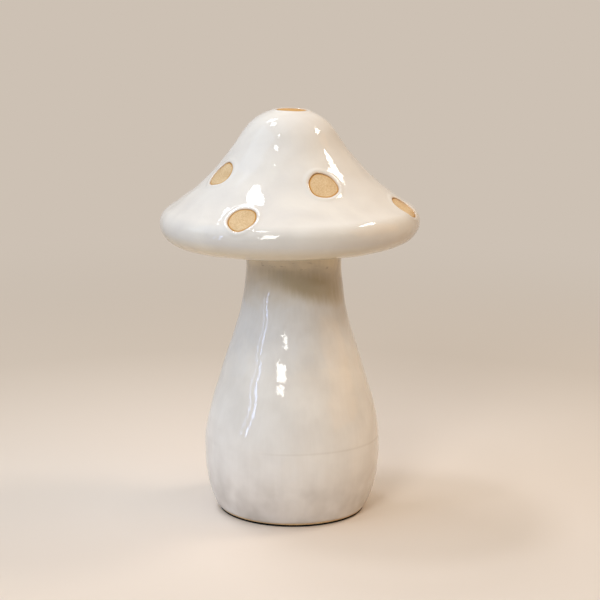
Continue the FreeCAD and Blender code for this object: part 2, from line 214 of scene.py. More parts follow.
@dataclass(frozen=True)
class Run:
    """Straight stretch of an outline, with the side that faces out."""

    start: Pair
    end: Pair
    out: Pair

    def sample(self, step: float) -> tuple[Array, Array]:
        """Points go evenly from start to end.

        Args:
            step: Longest distance between points.

        Returns:
            Points and outward normals, two columns each.
        """
        count = 2 + int(math.dist(self.start, self.end) / step)
        share = np.linspace(0, 1, count)[:, None]
        points = (1 - share) * np.array(self.start) + share * np.array(self.end)
        out = np.array(self.out) / np.hypot(*self.out)
        return points, np.broadcast_to(out, points.shape)


class Outline:
    """Profile of a turned surface, read by the distance along it."""

    STEP = 0.1
    TRIES = 2000

    def __init__(self, parts: list[Arc | Run]) -> None:
        """Join arcs and runs end to end.

        Args:
            parts: Stretches in order.
        """
        sampled = [part.sample(self.STEP) for part in parts]
        self.points = np.concatenate([points for points, _ in sampled])
        self.normals = np.concatenate([normals for _, normals in sampled])
        gaps = np.linalg.norm(np.diff(self.points, axis=0), axis=1)
        self.reach = np.r_[0, np.cumsum(gaps)]
        self.length = float(self.reach[-1])
        self.traits = *self.points.T, *self.normals.T

    def at(self, along: Array | float, raised: Array | float = 0.0) -> tuple[Array, Array]:
        """Read radius and height at distances along, raised out of the surface along its normal."""
        radius, height, out_r, out_z = (np.interp(along, self.reach, x) for x in self.traits)
        return radius + raised * out_r, height + raised * out_z

    def rows(self, start: float, end: float, coarse: float, turn: float) -> Array:
        """Space rows by effort: distance over the coarse step plus turning over the turn step.

        Args:
            start: First distance.
            end: Last distance.
            coarse: Row spacing where the outline is straight.
            turn: Degrees of turning that are worth a row.

        Returns:
            Distances along the outline.
        """
        along = np.linspace(start, end, self.TRIES)
        out_r, out_z = (np.interp(along, self.reach, column) for column in self.normals.T)
        angle = np.unwrap(np.arctan2(out_z, out_r))
        bent = np.r_[0, np.cumsum(np.abs(np.diff(angle)))] / math.radians(turn)
        effort = (along - start) / coarse + bent
        return np.interp(np.linspace(0, effort[-1], 1 + round(effort[-1])), effort, along)


class Shell:
    """Gathers the vertices and faces of one closed piece and makes its mesh.

    An edge stays sharp where its faces meet at more than CREASE degrees.
    """

    CREASE = 50.0

    def __init__(self) -> None:
        """Start with nothing."""
        self.places: list[Array] = []
        self.faces: list[Array] = []
        self.values: dict[str, list[Array]] = {}
        self.count = 0

    def add(self, points: Array, **values: Array | float) -> Array:
        """Add vertices.

        Args:
            points: Places in mm, with x, y and z along the last axis.
            values: Named values, one for each point, that the material reads.

        Returns:
            The vertices' numbers, in the shape that the points came in.
        """
        shape = points.shape[:-1]
        total = int(np.prod(shape))
        numbers = (self.count + np.arange(total)).reshape(shape)
        self.places.append(points.reshape(-1, 3))
        for name, value in values.items():
            self.values.setdefault(name, []).append(np.broadcast_to(value, shape).ravel())
        self.count += total
        return numbers

    def band(self, first: Array, second: Array) -> None:
        """Join closed rings, one or many, by quads."""
        self.faces.append(quads(first, second).reshape(-1, 4))

    def fan(self, ring: Array, pole: int, backwards: bool = False) -> None:
        """Close a ring with triangles to its pole, which may go round backwards."""
        corners = [ring, np.roll(ring, -1), np.full_like(ring, pole)]
        self.faces.append(np.stack(corners[::-1] if backwards else corners, -1))

    def build(self, name: str, material: Material) -> Piece:
        """Make the object, with its faces turned outwards if the volume comes out negative.

        Args:
            name: Name of the piece.
            material: What it is made of.

        Returns:
            The new object, at the origin, with its place in its mesh.
        """
        points = np.concatenate(self.places) * MM
        volume = 0.0
        for faces in self.faces:
            fans = [points[faces[:, [0, k, k + 1]]] for k in range(1, faces.shape[1] - 1)]
            volume += sum(np.einsum("ij,ij->", a[:, 0], np.cross(a[:, 1], a[:, 2])) for a in fans)
        faces = [f[:, ::-1] if volume < 0 else f for f in self.faces]
        mesh = bpy.data.meshes.new(name)
        mesh.from_pydata(points, [], [face for group in faces for face in group.tolist()])
        for key, parts in self.values.items():
            attribute = mesh.attributes.new(key, "FLOAT", "POINT")
            attribute.data.foreach_set("value", np.concatenate(parts).astype(np.float32))
        mesh.shade_smooth()
        mesh.set_sharp_from_angle(angle=math.radians(self.CREASE))
        mesh.materials.append(material)
        return into_scene(name, mesh)


@dataclass(frozen=True)
class Fade:
    """Steady change from one strength to another between two sizes in mm."""

    start: float
    end: float
    first: float = 0.0
    last: float = 1.0

    def of(self, size: Socket) -> tuple[Socket, float, float, float, float]:
        """List what a MapRange node takes: a size, where the change is, and the two strengths."""
        return size, self.start * MM, self.end * MM, self.first, self.last


@dataclass(frozen=True)
class Noise:
    """Cloudy noise: its size in mm, its finer layers and how rough and how bent they are."""

    size: float
    detail: float
    roughness: float = 0.5
    distortion: float = 0.0

    def at(self, place: Socket) -> dict[str, Socket | float]:
        """List what a TexNoise node takes, with its scale worked out from the size."""
        bent = {"Roughness": self.roughness, "Distortion": self.distortion}
        return {"Vector": place, "Scale": 1 / (self.size * MM), "Detail": self.detail, **bent}


class Nodes:
    """Node tree of a material or of the world, emptied and then built up node by node."""

    def __init__(self, owner: Material | bpy.types.World) -> None:
        """Empty the tree and start it with the object's own coordinates.

        Args:
            owner: Material or world that the tree belongs to.
        """
        owner.use_nodes = True
        self.owner = owner
        self.tree = owner.node_tree
        self.tree.nodes.clear()
        self.place = self.add("TexCoord", out="Object")

    def add(
        self,
        kind: str,
        inputs: tuple | dict = (),
        out: int | str = 0,
        stops: Stops = (),
        **settings: str | bool,
    ) -> Socket | None:
        """Add a node, with its settings, its sockets' values or links, and a colour ramp's stops.

        Args:
            kind: Blender's name for the node, less "ShaderNode".
            inputs: Number, hex colour or socket for each input, in order or by name or place.
            out: Output that is given back.
            stops: Place and hex colour of each stop of a colour ramp.
            settings: The node's own properties.

        Returns:
            The output, or None if the node has none.
        """
        node = self.tree.nodes.new("ShaderNode" + kind)
        for name, value in settings.items():
            setattr(node, name, value)
        for key, value in inputs.items() if isinstance(inputs, dict) else enumerate(inputs):
            if isinstance(value, Socket):
                self.tree.links.new(value, node.inputs[key])
            else:
                node.inputs[key].default_value = linear(value) if isinstance(value, str) else value
        if stops:
            ramp = node.color_ramp.elements
            while len(ramp) < len(stops):
                ramp.new(1.0)
            for element, (spot, code) in zip(ramp, stops):
                element.position = spot
                element.color = linear(code)
        return node.outputs[out] if node.outputs else None

    def close(
        self, colour: Socket, relief: Socket, strength: float, depth: float, shader: dict[str, float]
    ) -> Material:
        """End a material: the relief bumps the surface, and shader and output follow.

        Args:
            colour: Base colour.
            relief: What the bump follows.
            strength: Share of the bump that counts.
            depth: Height in mm that the relief stands for.
            shader: The shader's other sockets.

        Returns:
            The finished material.
        """
        bump = self.add("Bump", {"Height": relief, "Strength": strength, "Distance": depth * MM})
        surface = self.add("BsdfPrincipled", {"Base Color": colour, "Normal": bump, **shader})
        self.add("OutputMaterial", (surface,))
        return self.owner


@dataclass(frozen=True)
class Felt:
    """Pressed black wool felt, die-cut: matt, with pale fibre ends that catch the light."""

    fibre: Noise = Noise(0.5, 4.0, distortion=1.5)
    nap: float = 0.2
    tones: Stops = ((0.35, "#080707"), (0.7, "#1C1A19"))

    def make(self) -> Material:
        """Colour and bump both follow fine tangled noise at the fibre's spacing.

        Returns:
            The material.
        """
        node = Nodes(bpy.data.materials.new("pressed_wool_felt_die_cut"))
        tangle = node.add("TexNoise", self.fibre.at(node.place))
        colour = node.add("ValToRGB", (tangle,), stops=self.tones)
        shader = {"Roughness": 0.95, "Specular IOR Level": 0.15, "Sheen Weight": 0.05}
        return node.close(colour, tangle, 0.8, self.nap, shader)


@dataclass(frozen=True)
class BareClay:
    """Stoneware slip, cast and bisque fired: tan and matt, with grog that shows as fine specks.

    Where the piece has an edge_mm value, the clay is toasted brown in a line along the glaze.
    The crown's spot is toasted all over.
    """

    grain: Noise = Noise(0.9, 3.0, 0.65)
    grain_depth: float = 0.12
    drift: Noise = Noise(9.0, 2.0)
    drift_share: float = 0.55
    tones: Stops = ((0.5, "#C4A378"), (0.75, "#D7B88D"), (1.0, "#E4CBA4"))
    has_edge: bool = False
    ring: Pair = (-0.95, -0.275)
    ring_rag: float = 0.5
    crown: Fade = Fade(268, 276, 0.0, 0.75)
    toast: str = "#C89242"

    def make(self) -> Material:
        """Specks and a slow tone drift come from noise; the ring follows edge_mm, ragged by noise.

        Returns:
            The material.
        """
        name = "toasted_at_glaze" if self.has_edge else "slip_cast"
        node = Nodes(bpy.data.materials.new("stoneware_bisque_" + name))
        grog = node.add("TexNoise", self.grain.at(node.place))
        slow = node.add("TexNoise", self.drift.at(node.place))
        mixed = node.add("Math", (slow, self.drift_share, grog), operation="MULTIPLY_ADD")
        colour = node.add("ValToRGB", (mixed,), stops=self.tones)
        if self.has_edge:
            edge = node.add("Attribute", out="Fac", attribute_name="edge_mm")
            ragged = node.add("Math", (grog, self.ring_rag, edge), operation="MULTIPLY_ADD")
            line = node.add("MapRange", (ragged, *self.ring))
            height = node.add("SeparateXYZ", (node.place,), out="Z")
            on_top = node.add("MapRange", self.crown.of(height))
            browned = node.add("Math", (line, on_top), operation="MAXIMUM")
            colour = node.add("Mix", {0: browned, 6: colour, 7: self.toast}, **COLOURS)
        shader = {"Roughness": 0.85, "IOR": 1.45}
        return node.close(colour, grog, 0.7, self.grain_depth, shader)


@dataclass(frozen=True)
class DriedSlip:
    """Casting slip brushed into the joint and dried: chalky, with brush drag round the neck."""

    drag: Noise = Noise(4.8, 4.0)
    squeeze: Triple = (1.0, 1.0, 4.0)
    tones: Stops = ((0.3, "#C8B08A"), (0.7, "#DECBA8"))

    def make(self) -> Material:
        """Noise stretched along the ring, since brush strokes follow the joint.

        Returns:
            The material.
        """
        node = Nodes(bpy.data.materials.new("casting_slip_brushed_dry"))
        squeezed = node.add("Mapping", {"Vector": node.place, "Scale": self.squeeze})
        strokes = node.add("TexNoise", self.drag.at(squeezed))
        colour = node.add("ValToRGB", (strokes,), stops=self.tones)
        return node.close(colour, strokes, 0.5, 0.1, {"Roughness": 0.9})


@dataclass(frozen=True)
class CapGlaze:
    """Opaque white gloss glaze, dipped and fired: wet-looking, with a faint ripple in its shine."""

    ripple: Noise = Noise(7.0, 3.0)
    ripple_height: float = 0.14
    cloud: Noise = Noise(34.0, 3.0, distortion=0.6)
    tones: Stops = ((0.3, "#E2DDD8"), (0.7, "#EEE9E2"))
    breath: float = 0.9
    breath_share: float = 0.55
    clay_tone: str = "#C99A5C"
    # Cream tint on the lower edge: thin glaze over the lip, with painted warm bounce light.
    lip: Fade = Fade(192, 200, 0.6, 0.0)
    lip_thin_glaze_and_bounce_tone: str = "#F6E3B8"

    def make(self) -> Material:
        """Two tones of white drift by noise; close to a spot the thin edge lets the clay through;
        the lower edge is tinted cream, partly thin glaze over the lip and partly painted warm bounce
        light.

        Returns:
            The material.
        """
        node = Nodes(bpy.data.materials.new("ceramic_glaze_opaque_white_dipped"))
        cloud = node.add("TexNoise", self.cloud.at(node.place))
        white = node.add("ValToRGB", (cloud,), stops=self.tones)
        edge = node.add("Attribute", out="Fac", attribute_name="edge_mm")
        thin = node.add("MapRange", (edge, 0.0, self.breath, self.breath_share, 0.0))
        colour = node.add("Mix", {0: thin, 6: white, 7: self.clay_tone}, **COLOURS)
        # Cream along the cap's lower edge: thin glaze over the lip, and painted warm bounce light
        # from below.
        height = node.add("SeparateXYZ", (node.place,), out="Z")
        low = node.add("MapRange", self.lip.of(height))
        lip_thin_glaze_and_bounce = node.add("Mix", {0: low, 6: colour, 7: self.lip_thin_glaze_and_bounce_tone}, **COLOURS)
        wobble = node.add("TexNoise", self.ripple.at(node.place))
        shader = {"Roughness": 0.045, "IOR": 1.5}
        return node.close(lip_thin_glaze_and_bounce, wobble, 1.0, self.ripple_height, shader)


@dataclass(frozen=True)
class StalkGlaze:
    """Milky white gloss glaze over buff clay: grey and brown clouds where the coat is thinner, and
    painted shade and painted light under the cap.
    """

    ripple: Noise = Noise(6.5, 3.0, 0.45)
    ripple_height: float = 0.13
    cloud: Noise = Noise(26.0, 4.0, 0.55, 0.8)
    drift: float = 36.0
    tones_span: float = 200.0
    # Tones by height: the grey-blue and brown stops under the cap are painted shade, partly thinner
    # glaze; the last, near-white stop is painted light.
    tones: Stops = (
        (0.02, "#D9D5D3"), (0.12, "#E3DFDC"), (0.28, "#F1EEEB"), (0.52, "#F5F2EE"),
        (0.64, "#EAEBED"), (0.74, "#E0E1E3"), (0.83, "#DBD3C5"), (0.9, "#FFF3DA"),
    )
    streak: Noise = Noise(2.4, 3.0)
    streak_scale: Triple = (1.0, 1.0, 0.07)
    streak_share: Fade = Fade(118, 185, 0.13, 0.39)
    streak_tone: str = "#B9B0A4"
    # Patch below the cap: painted shade, with the brown of thinner glaze there.
    thin_glaze_shade_centre: Triple = (12.0, -32.0, 164.0)
    thin_glaze_shade_spread: Triple = (1.8, 2.0, 0.52)
    thin_glaze_shade_tilt: float = 18.0
    thin_glaze_shade_rag: float = 14.0
    thin_glaze_shade_edge: Fade = Fade(13, 34)
    thin_glaze_shade_share: Fade = Fade(174, 180, 0.72, 0.0)
    thin_glaze_shade_tone: str = "#A89979"
    blotch: Noise = Noise(19.0, 2.0, 0.45)
    blotch_turn: float = -60.0
    blotch_range: Pair = (0.38, 0.64)
    foot_share: Fade = Fade(2, 38, 0.57, 0.12)
    foot_tone: str = "#A79F98"
    lap_line: tuple[float, float, float, float] = (0.1, 1.1, 0.1, 0.0)
    lap_starts: Fade = Fade(-24, -6, 0.1, 1.0)
    speck: Noise = Noise(7.0, 5.0)
    speck_scale: Triple = (1.0, 1.0, 2.6)
    speck_height: Fade = Fade(163, 177, -0.3, 0.0)
    speck_range: tuple[float, float, float, float] = (0.6, 0.7, 0.0, 0.42)
    mark_tone: str = "#8C7A66"

    def make(self) -> Material:
        """Tone follows height and cloudy noise, with painted shade and a painted light band under
        the cap; streaks, a painted shade patch, blotches and marks lie over it.

        Returns:
            The material.
        """
        node = Nodes(bpy.data.materials.new("ceramic_glaze_milky_white_poured"))
        parts = node.add("SeparateXYZ", (node.place,)).node.outputs
        height = parts["Z"]
        # Tone by height, darker towards the foot; greyer, bluer then browner from about 125 to 170
        # mm as painted shade under the cap, with thinner glaze at the neck; near white at about 180
        # mm as painted light.
        cloud = node.add("TexNoise", self.cloud.at(node.place))
        pulled = node.add("Math", (cloud, self.drift * MM, height), operation="MULTIPLY_ADD")
        span = Fade(self.drift / 2, self.drift / 2 + self.tones_span)
        level = node.add("MapRange", span.of(pulled))
        tone = node.add("ValToRGB", (level,), stops=self.tones)

        # Streaks: noise stretched upright, strongest at the neck.
        stretched = node.add("Mapping", {"Vector": node.place, "Scale": self.streak_scale})
        streaks = node.add("TexNoise", self.streak.at(stretched))
        at_neck = node.add("MapRange", self.streak_share.of(height))
        lined = node.add("Math", (streaks, at_neck), operation="MULTIPLY")
        streaked = node.add("Mix", {0: lined, 6: tone, 7: self.streak_tone}, **COLOURS)

        # Painted shade below the cap, with the brown of thinner glaze there: a tilted darker patch,
        # its edge made ragged by the streaks.
        middle = [part * MM for part in self.thin_glaze_shade_centre]
        turn = (0.0, math.radians(self.thin_glaze_shade_tilt), 0.0)
        patch = (node.place, middle, turn, self.thin_glaze_shade_spread)
        flattened = node.add("Mapping", patch, vector_type="TEXTURE")
        apart = node.add("VectorMath", (flattened,), out="Value", operation="LENGTH")
        ragged = node.add("Math", (streaks, self.thin_glaze_shade_rag * MM, apart), operation="MULTIPLY_ADD")
        share = node.add("MapRange", self.thin_glaze_shade_share.of(height))
        thin_glaze_shade_mask = node.add("MapRange", (*self.thin_glaze_shade_edge.of(ragged)[:3], share, 0.0), **SOFT)
        thin_glaze_shaded = node.add("Mix", {0: thin_glaze_shade_mask, 6: streaked, 7: self.thin_glaze_shade_tone}, **COLOURS)

        # Foot: grey blotches, fainter higher up.
        low = node.add("MapRange", self.foot_share.of(height))
        turn = (0.0, 0.0, math.radians(self.blotch_turn))
        spun = node.add("Mapping", {"Vector": node.place, "Rotation": turn})
        patches = node.add("TexNoise", self.blotch.at(spun))
        blotches = node.add("MapRange", (patches, *self.blotch_range))
        foot = node.add("Math", (low, blotches), operation="MULTIPLY")
        colour = node.add("Mix", {0: foot, 6: thin_glaze_shaded, 7: self.foot_tone}, **COLOURS)

        # Marks: a line at the second dip's edge, faint on the left, and specks below the cap.
        lap = node.add("Attribute", out="Fac", attribute_name="lap_mm")
        from_line = node.add("Math", (lap,), operation="ABSOLUTE")
        line = node.add("MapRange", (from_line, *self.lap_line))
        rightward = node.add("MapRange", self.lap_starts.of(parts["X"]))
        broken = node.add("Math", (line, rightward), operation="MULTIPLY")
        squat = node.add("Mapping", {"Vector": node.place, "Scale": self.speck_scale})
        specks = node.add("TexNoise", self.speck.at(squat))
        under_cap = node.add("MapRange", self.speck_height.of(height))
        speckled = node.add("Math", (under_cap, specks), operation="ADD")
        dark = node.add("MapRange", (speckled, *self.speck_range))
        marks = node.add("Math", (broken, dark), operation="MAXIMUM")
        marked = node.add("Mix", {0: marks, 6: colour, 7: self.mark_tone}, **COLOURS)
        wobble = node.add("TexNoise", self.ripple.at(node.place))
        shader = {"Roughness": 0.05, "IOR": 1.5}
        return node.close(marked, wobble, 1.0, self.ripple_height, shader)


@dataclass(frozen=True)
class Spot:
    """Round patch where wax kept the glaze off: its place and its uneven outline.

    The radius at an angle is the mean radius times 1 plus a cosine for each wobble, which
    gives the number of its lobes, its size and the degrees that it is turned.
    """

    azimuth: float
    down: float
    radius: float
    wobble: tuple[tuple[int, float, float], ...]

    def edge(self, angle: Array) -> Array:
        """Read the radius of the edge at angles in radians, from the right towards the top."""
        waves = (size * np.cos(n * (angle - math.radians(turn))) for n, size, turn in self.wobble)
        return self.radius * (1 + sum(waves))


# From the front's left round by the right and the back: two rows, high and low by turns.
FLANK_SPOTS = (
    Spot(-61.9, 69.4, 10.0, ((2, 0.042, 15), (3, 0.042, -22), (5, 0.012, 40))),
    Spot(-22.7, 105.4, 10.0, ((2, 0.038, -85), (3, 0.014, 40), (5, 0.012, -19))),
    Spot(24.3, 76.0, 10.2, ((2, 0.012, 13), (3, 0.046, -17), (6, 0.013, -20))),
    Spot(75.7, 107.1, 10.2, ((2, 0.03, 38), (3, 0.02, 16), (5, 0.014, 10))),
    Spot(118.0, 70.0, 10.1, ((2, 0.03, 60), (3, 0.03, 5), (5, 0.012, 0))),
    Spot(163.0, 105.4, 10.0, ((2, 0.035, -30), (3, 0.02, 30), (6, 0.01, 0))),
    Spot(-152.0, 73.0, 10.2, ((2, 0.02, 80), (3, 0.035, 10), (5, 0.014, 30))),
    Spot(-107.0, 106.2, 10.0, ((2, 0.04, 20), (3, 0.015, -40), (5, 0.012, 15))),
)
TOP_SPOT = Spot(90.0, 2.2, 10.1, ((2, 0.02, 10), (3, 0.015, 50), (5, 0.01, 0)))


class SpottedSurface:
    """Turned surface whose vertices line up with the edges of the spots on it.

    A regular grid of columns round the axis and rows down the outline has a block of cells
    taken out round each spot. Rings fill the block. OUTSIDE and INSIDE are their distances
    in mm from the spot's edge, TO_BORDER the shares of the way on to the block's border, and
    TO_MIDDLE the shares of the last inner ring's radius that lead to the spot's middle.
    """

    ROW_STEP = 1.9
    ROW_TURN = 5.0
    HALF_BLOCK = 16.5
    OUTSIDE = (0.0, 0.12, 0.3, 0.55, 0.85, 1.2, 1.7, 2.3, 3.1, 4.0)
    TO_BORDER = (0.2, 0.45, 0.72)
    INSIDE = (0.12, 0.25, 0.4, 0.6, 0.9, 1.4, 2.2)
    TO_MIDDLE = (0.8, 0.58, 0.36, 0.16)
    TOP_REACH = 40.0
    FAR = 12.0

    def __init__(self, outline: Outline, start: float, end: float, columns: int, fill: Fill) -> None:
        """Lay out the grid and the rings.

        Args:
            outline: Profile that the rows run down.
            start: Distance along it of the first row, outside the top spot's rings.
            end: Distance along it of the last row.
            columns: Number of columns round the axis.
            fill: What lies inside the spots.
        """
        self.outline = outline
        self.fill = fill
        rows = outline.rows(start, end, coarse=self.ROW_STEP, turn=self.ROW_TURN)
        grid = np.arange(rows.size * columns).reshape(rows.size, columns)
        self.azimuth = np.tile(around(columns), rows.size)
        self.along = np.repeat(rows, columns)
        self.faces: list[Array] = []
        self.poles: list[tuple[Array, int]] = []
        self.rims: list[Array] = []
        self.last_row = grid[-1]

        keep = np.ones((rows.size - 1, columns), bool)
        reach = self.HALF_BLOCK
        for spot in FLANK_SPOTS:
            middle = math.radians(spot.azimuth % 360) / math.tau * columns
            wide = reach / outline.at(spot.down)[0] / math.tau * columns
            left, right = round(middle - wide), round(middle + wide)
            top, bottom = np.searchsorted(rows, (spot.down - reach, spot.down + reach))
            across = np.arange(left, right) % columns
            keep[top:bottom, across] = False
            border = np.concatenate([
                grid[top, across],
                grid[top:bottom, right % columns],
                grid[bottom, np.arange(right, left, -1) % columns],
                grid[np.arange(bottom, top, -1), left % columns],
            ])
            self._rings(border, spot)
        self._rings(grid[0][::-1], TOP_SPOT)

        self.faces.append(quads(grid[:-1], grid[1:])[keep])
        self.edge = self._distance()

    def _to_local(self, spot: Spot, azimuth: Array, along: Array) -> Array:
        """Measure places from a spot's middle.

        Args:
            spot: The spot.
            azimuth: Angles round the axis in radians.
            along: Distances along the outline.

        Returns:
            Distance rightwards and upwards on the surface, as x + iy.
        """
        radius, _ = self.outline.at(along)
        if spot is TOP_SPOT:
            return radius * (np.sin(azimuth) - 1j * np.cos(azimuth)) - spot.down
        turn = (azimuth - math.radians(spot.azimuth) + math.pi) % math.tau - math.pi
        return turn * radius - 1j * (along - spot.down)

    def _from_local(self, spot: Spot, local: Array) -> tuple[Array, Array]:
        """Undo _to_local.

        Args:
            spot: The spot.
            local: Places measured from its middle, as x + iy.

        Returns:
            Azimuth, and distance along the outline.
        """
        if spot is TOP_SPOT:
            flat = local + spot.down
            upper = self.outline.reach < self.TOP_REACH
            along = np.interp(np.abs(flat), self.outline.points[upper, 0], self.outline.reach[upper])
            return np.arctan2(flat.real, -flat.imag), along
        along = spot.down - local.imag
        radius, _ = self.outline.at(along)
        return math.radians(spot.azimuth) + local.real / radius, along

    def _add(self, spot: Spot, local: Array) -> Array:
        """Add vertices.

        Args:
            spot: The spot that they belong to.
            local: Places measured from its middle, as x + iy.

        Returns:
            The vertices' numbers.
        """
        numbers = self.along.size + np.arange(local.size).reshape(local.shape)
        azimuth, along = self._from_local(spot, local.ravel())
        self.azimuth = np.append(self.azimuth, azimuth)
        self.along = np.append(self.along, along)
        return numbers

    def _rings(self, border: Array, spot: Spot) -> None:
        """Fill one block with rings: the spot's edge plus set distances, then out to the border.

        Args:
            border: Vertex numbers round the block, clockwise as seen from outside.
            spot: The spot in the block.
        """
        local = self._to_local(spot, self.azimuth[border], self.along[border])
        angle = np.angle(local)
        edge = spot.edge(angle)
        room = np.abs(local) - edge
        near = np.array(self.OUTSIDE)[:, None]
        far = near[-1] + (room - near[-1]) * np.array(self.TO_BORDER)[:, None]
        outside = np.concatenate([np.broadcast_to(near, (near.size, edge.size)), far])[::-1]
        radii = edge + outside
        if self.fill is Fill.CLAY:
            inner = edge - np.array(self.INSIDE)[:, None]
            core = inner[-1] * np.array(self.TO_MIDDLE)[:, None]
            radii = np.concatenate([radii, inner, core])
        chain = np.concatenate([border[None], self._add(spot, radii * np.exp(1j * angle))])
        self.faces.append(quads(chain[:-1], chain[1:]).reshape(-1, 4))
        if self.fill is Fill.CLAY:
            self.poles.append((chain[-1], self._add(spot, np.zeros(1, complex))[0]))
        else:
            self.rims.append(chain[-1])

    def _distance(self) -> Array:
        """Measure every vertex from the nearest spot's edge.

        Returns:
            Distance in mm, positive outside the spot, up to FAR.
        """
        nearest = np.full_like(self.along, self.FAR)
        for spot in (*FLANK_SPOTS, TOP_SPOT):
            local = self._to_local(spot, self.azimuth, self.along)
            nearest = np.minimum(nearest, np.abs(local) - spot.edge(np.angle(local)))
        return nearest


@dataclass(frozen=True)
class FootPad:
    """Felt disc under the foot."""

    radius: float = 50.55
    thick: float = 1.5
    round_over: float = 0.35
    first_ring: float = 3.0
    columns: int = 192

    def build(self, felt: Material) -> Piece:
        """Turn a flat disc whose radius and height follow a quarter circle at each edge.

        Args:
            felt: Its material.

        Returns:
            The pad.
        """
        curve, core = self.round_over, self.radius - self.round_over
        outline = Outline([
            Run((0.0, 0.0), (core, 0.0), (0, -1)),
            Arc((core, curve), curve, -math.pi / 2, 0),
            Arc((core, self.thick - curve), curve, 0, math.pi / 2),
            Run((core, self.thick), (0.0, self.thick), (0, 1)),
        ])
        last = outline.length - self.first_ring
        along = outline.rows(self.first_ring, last, coarse=4.0, turn=15.0)
        azimuth = around(self.columns)
        shell = Shell()
        grid = shell.add(turned(*outline.at(along[:, None] + 0 * azimuth), azimuth))
        shell.band(grid[:-1], grid[1:])
        ends = shell.add(np.array([[0, 0, 0], [0, 0, self.thick]], float))
        shell.fan(grid[0], ends[0], backwards=True)
        shell.fan(grid[-1], ends[1])
        pad = shell.build("foot_pad", felt)
        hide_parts("base_pad")
        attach(pad, "root")
        return pad


@dataclass(frozen=True)
class Stalk:
    """Glaze on the stalk: a thin closed wall whose outside is a chain of tangent arcs.

    The belly's two arcs meet at its widest height. A straight run leads from the upper one
    to the hollow arc under the neck.
    """

    belly_radius: float = 61.1
    belly_height: float = 41.0
    under_belly_radius: float = 89.0
    over_belly_radius: float = 138.4
    neck_radius: float = 32.9
    neck_height: float = 178.1
    neck_flare_radius: float = 164.0
    neck_top: float = 193.4
    low_edge: float = 2.6
    edge_roll: float = 0.45
    edge_round: float = 0.9
    coat: float = 0.8
    lean: float = 1.2
    lean_from: float = 150.0
    fillet: float = 1.6
    fillet_band: float = 4.0
    fillet_rows: int = 14
    row_gap: float = 0.4
    underside: float = 192.6
    underside_gap: float = 0.12
    dip_height: float = 53.5
    dip_wave: float = 0.6
    dip_phase: float = 0.8
    lap_rise: float = 0.14
    lap_width: float = 1.2
    lap_level: float = 2.0
    lap_fade: float = 30.0
    columns: int = 300
    unevenness: Waves = Waves(16.0, 60.0, seed=15)
    uneven_by: float = 0.16
    even_band: float = 6.0
    even_fade: float = 20.0

    def outline(self) -> Outline:
        """Chain the arcs from the low edge up: tangent points come from the crossed tangent line.

        Returns:
            The glazed surface's profile.
        """
        lower = np.array([self.belly_radius - self.under_belly_radius, self.belly_height])
        upper = np.array([self.belly_radius - self.over_belly_radius, self.belly_height])
        flare = np.array([self.neck_radius + self.neck_flare_radius, self.neck_height])
        between = flare - upper
        reach = (self.over_belly_radius + self.neck_flare_radius) / np.hypot(*between)
        slant = math.atan2(between[1], between[0]) - math.acos(reach)
        way = np.array([math.cos(slant), math.sin(slant)])
        low = math.asin((self.low_edge - self.belly_height) / self.under_belly_radius)
        leave, meet = upper + self.over_belly_radius * way, flare - self.neck_flare_radius * way
        return Outline([
            Arc(tuple(lower), self.under_belly_radius, low, 0),
            Arc(tuple(upper), self.over_belly_radius, 0, slant),
            Run(tuple(leave), tuple(meet), tuple(way)),
            Arc(tuple(flare), -self.neck_flare_radius, math.pi + slant, math.pi),
            Run((self.neck_radius, self.neck_height), (self.neck_radius, self.neck_top), (1, 0)),
        ])

    def build(self, glaze: Material) -> Piece:
        """Raise the outline by its relief, add the coat's back and lean its top to the cap's slope.

        Args:
            glaze: Its material.

        Returns:
            The glaze coat.
        """
        outline = self.outline()
        rows = outline.rows(0.0, outline.length, coarse=1.6, turn=4.0)
        close = np.linspace(outline.length - self.fillet_band, outline.length, self.fillet_rows)
        rows = np.concatenate([rows[rows < close[0] - self.row_gap], close])
        azimuth = around(self.columns)
        along = rows[:, None] + 0 * azimuth
        raised, lap_mm = self._relief(turned(*outline.at(along), azimuth), azimuth)

        shell = Shell()
        slope = math.tan(math.radians(self.lean))
        low, high = (np.array(corner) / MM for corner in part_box("stalk_glaze"))
        sides = []
        for rise in (raised, np.full_like(raised, -self.coat)):
            points = turned(*outline.at(along, rise), azimuth)
            leaning = ease((points[..., 2] - self.lean_from) / (self.neck_top - self.lean_from))
            points[..., 2] += slope * points[..., 0] * leaning
            sides.append(shell.add(np.clip(points, low, high), lap_mm=lap_mm))
        front, back = sides
        shell.band(front[:-1], front[1:])
        shell.band(front[-1], back[-1])
        shell.band(back[1:], back[:-1])
        shell.band(back[0], front[0])
        coat = shell.build("stalk_coat", glaze)
        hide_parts("stalk_glaze")
        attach(coat, "root")
        return coat

    def _relief(self, flat: Array, azimuth: Array) -> tuple[Array, Array]:
        """Add up waves, the lap of the second dip, the rolled low edge and a fillet under the cap.

        Args:
            flat: Places on the even surface.
            azimuth: Columns round the axis.

        Returns:
            How far each place is raised, and its height above the second dip's edge.
        """
        height = flat[..., 2]
        lap_mm = height - self.dip_height - self.dip_wave * np.sin(azimuth * 2 + self.dip_phase)
        fading = ease(1 - (lap_mm - self.lap_level) / self.lap_fade)
        lap = self.lap_rise * ease(lap_mm / self.lap_width + 0.5) * fading
        roll = -self.edge_roll * quarter_round((height - self.low_edge) / self.edge_round)
        calm = ease((self.neck_top - self.even_band - height) / self.even_fade)
        swell = self.uneven_by * self.unevenness.at(flat) * calm
        leaning = height - np.tan(math.radians(self.lean)) * flat[..., 0]
        under = self.underside - self.underside_gap - leaning
        collar = self.fillet * quarter_round(under / (2 * self.fillet))
        return swell + lap + roll + np.where(under > 0, collar, 0.0), lap_mm


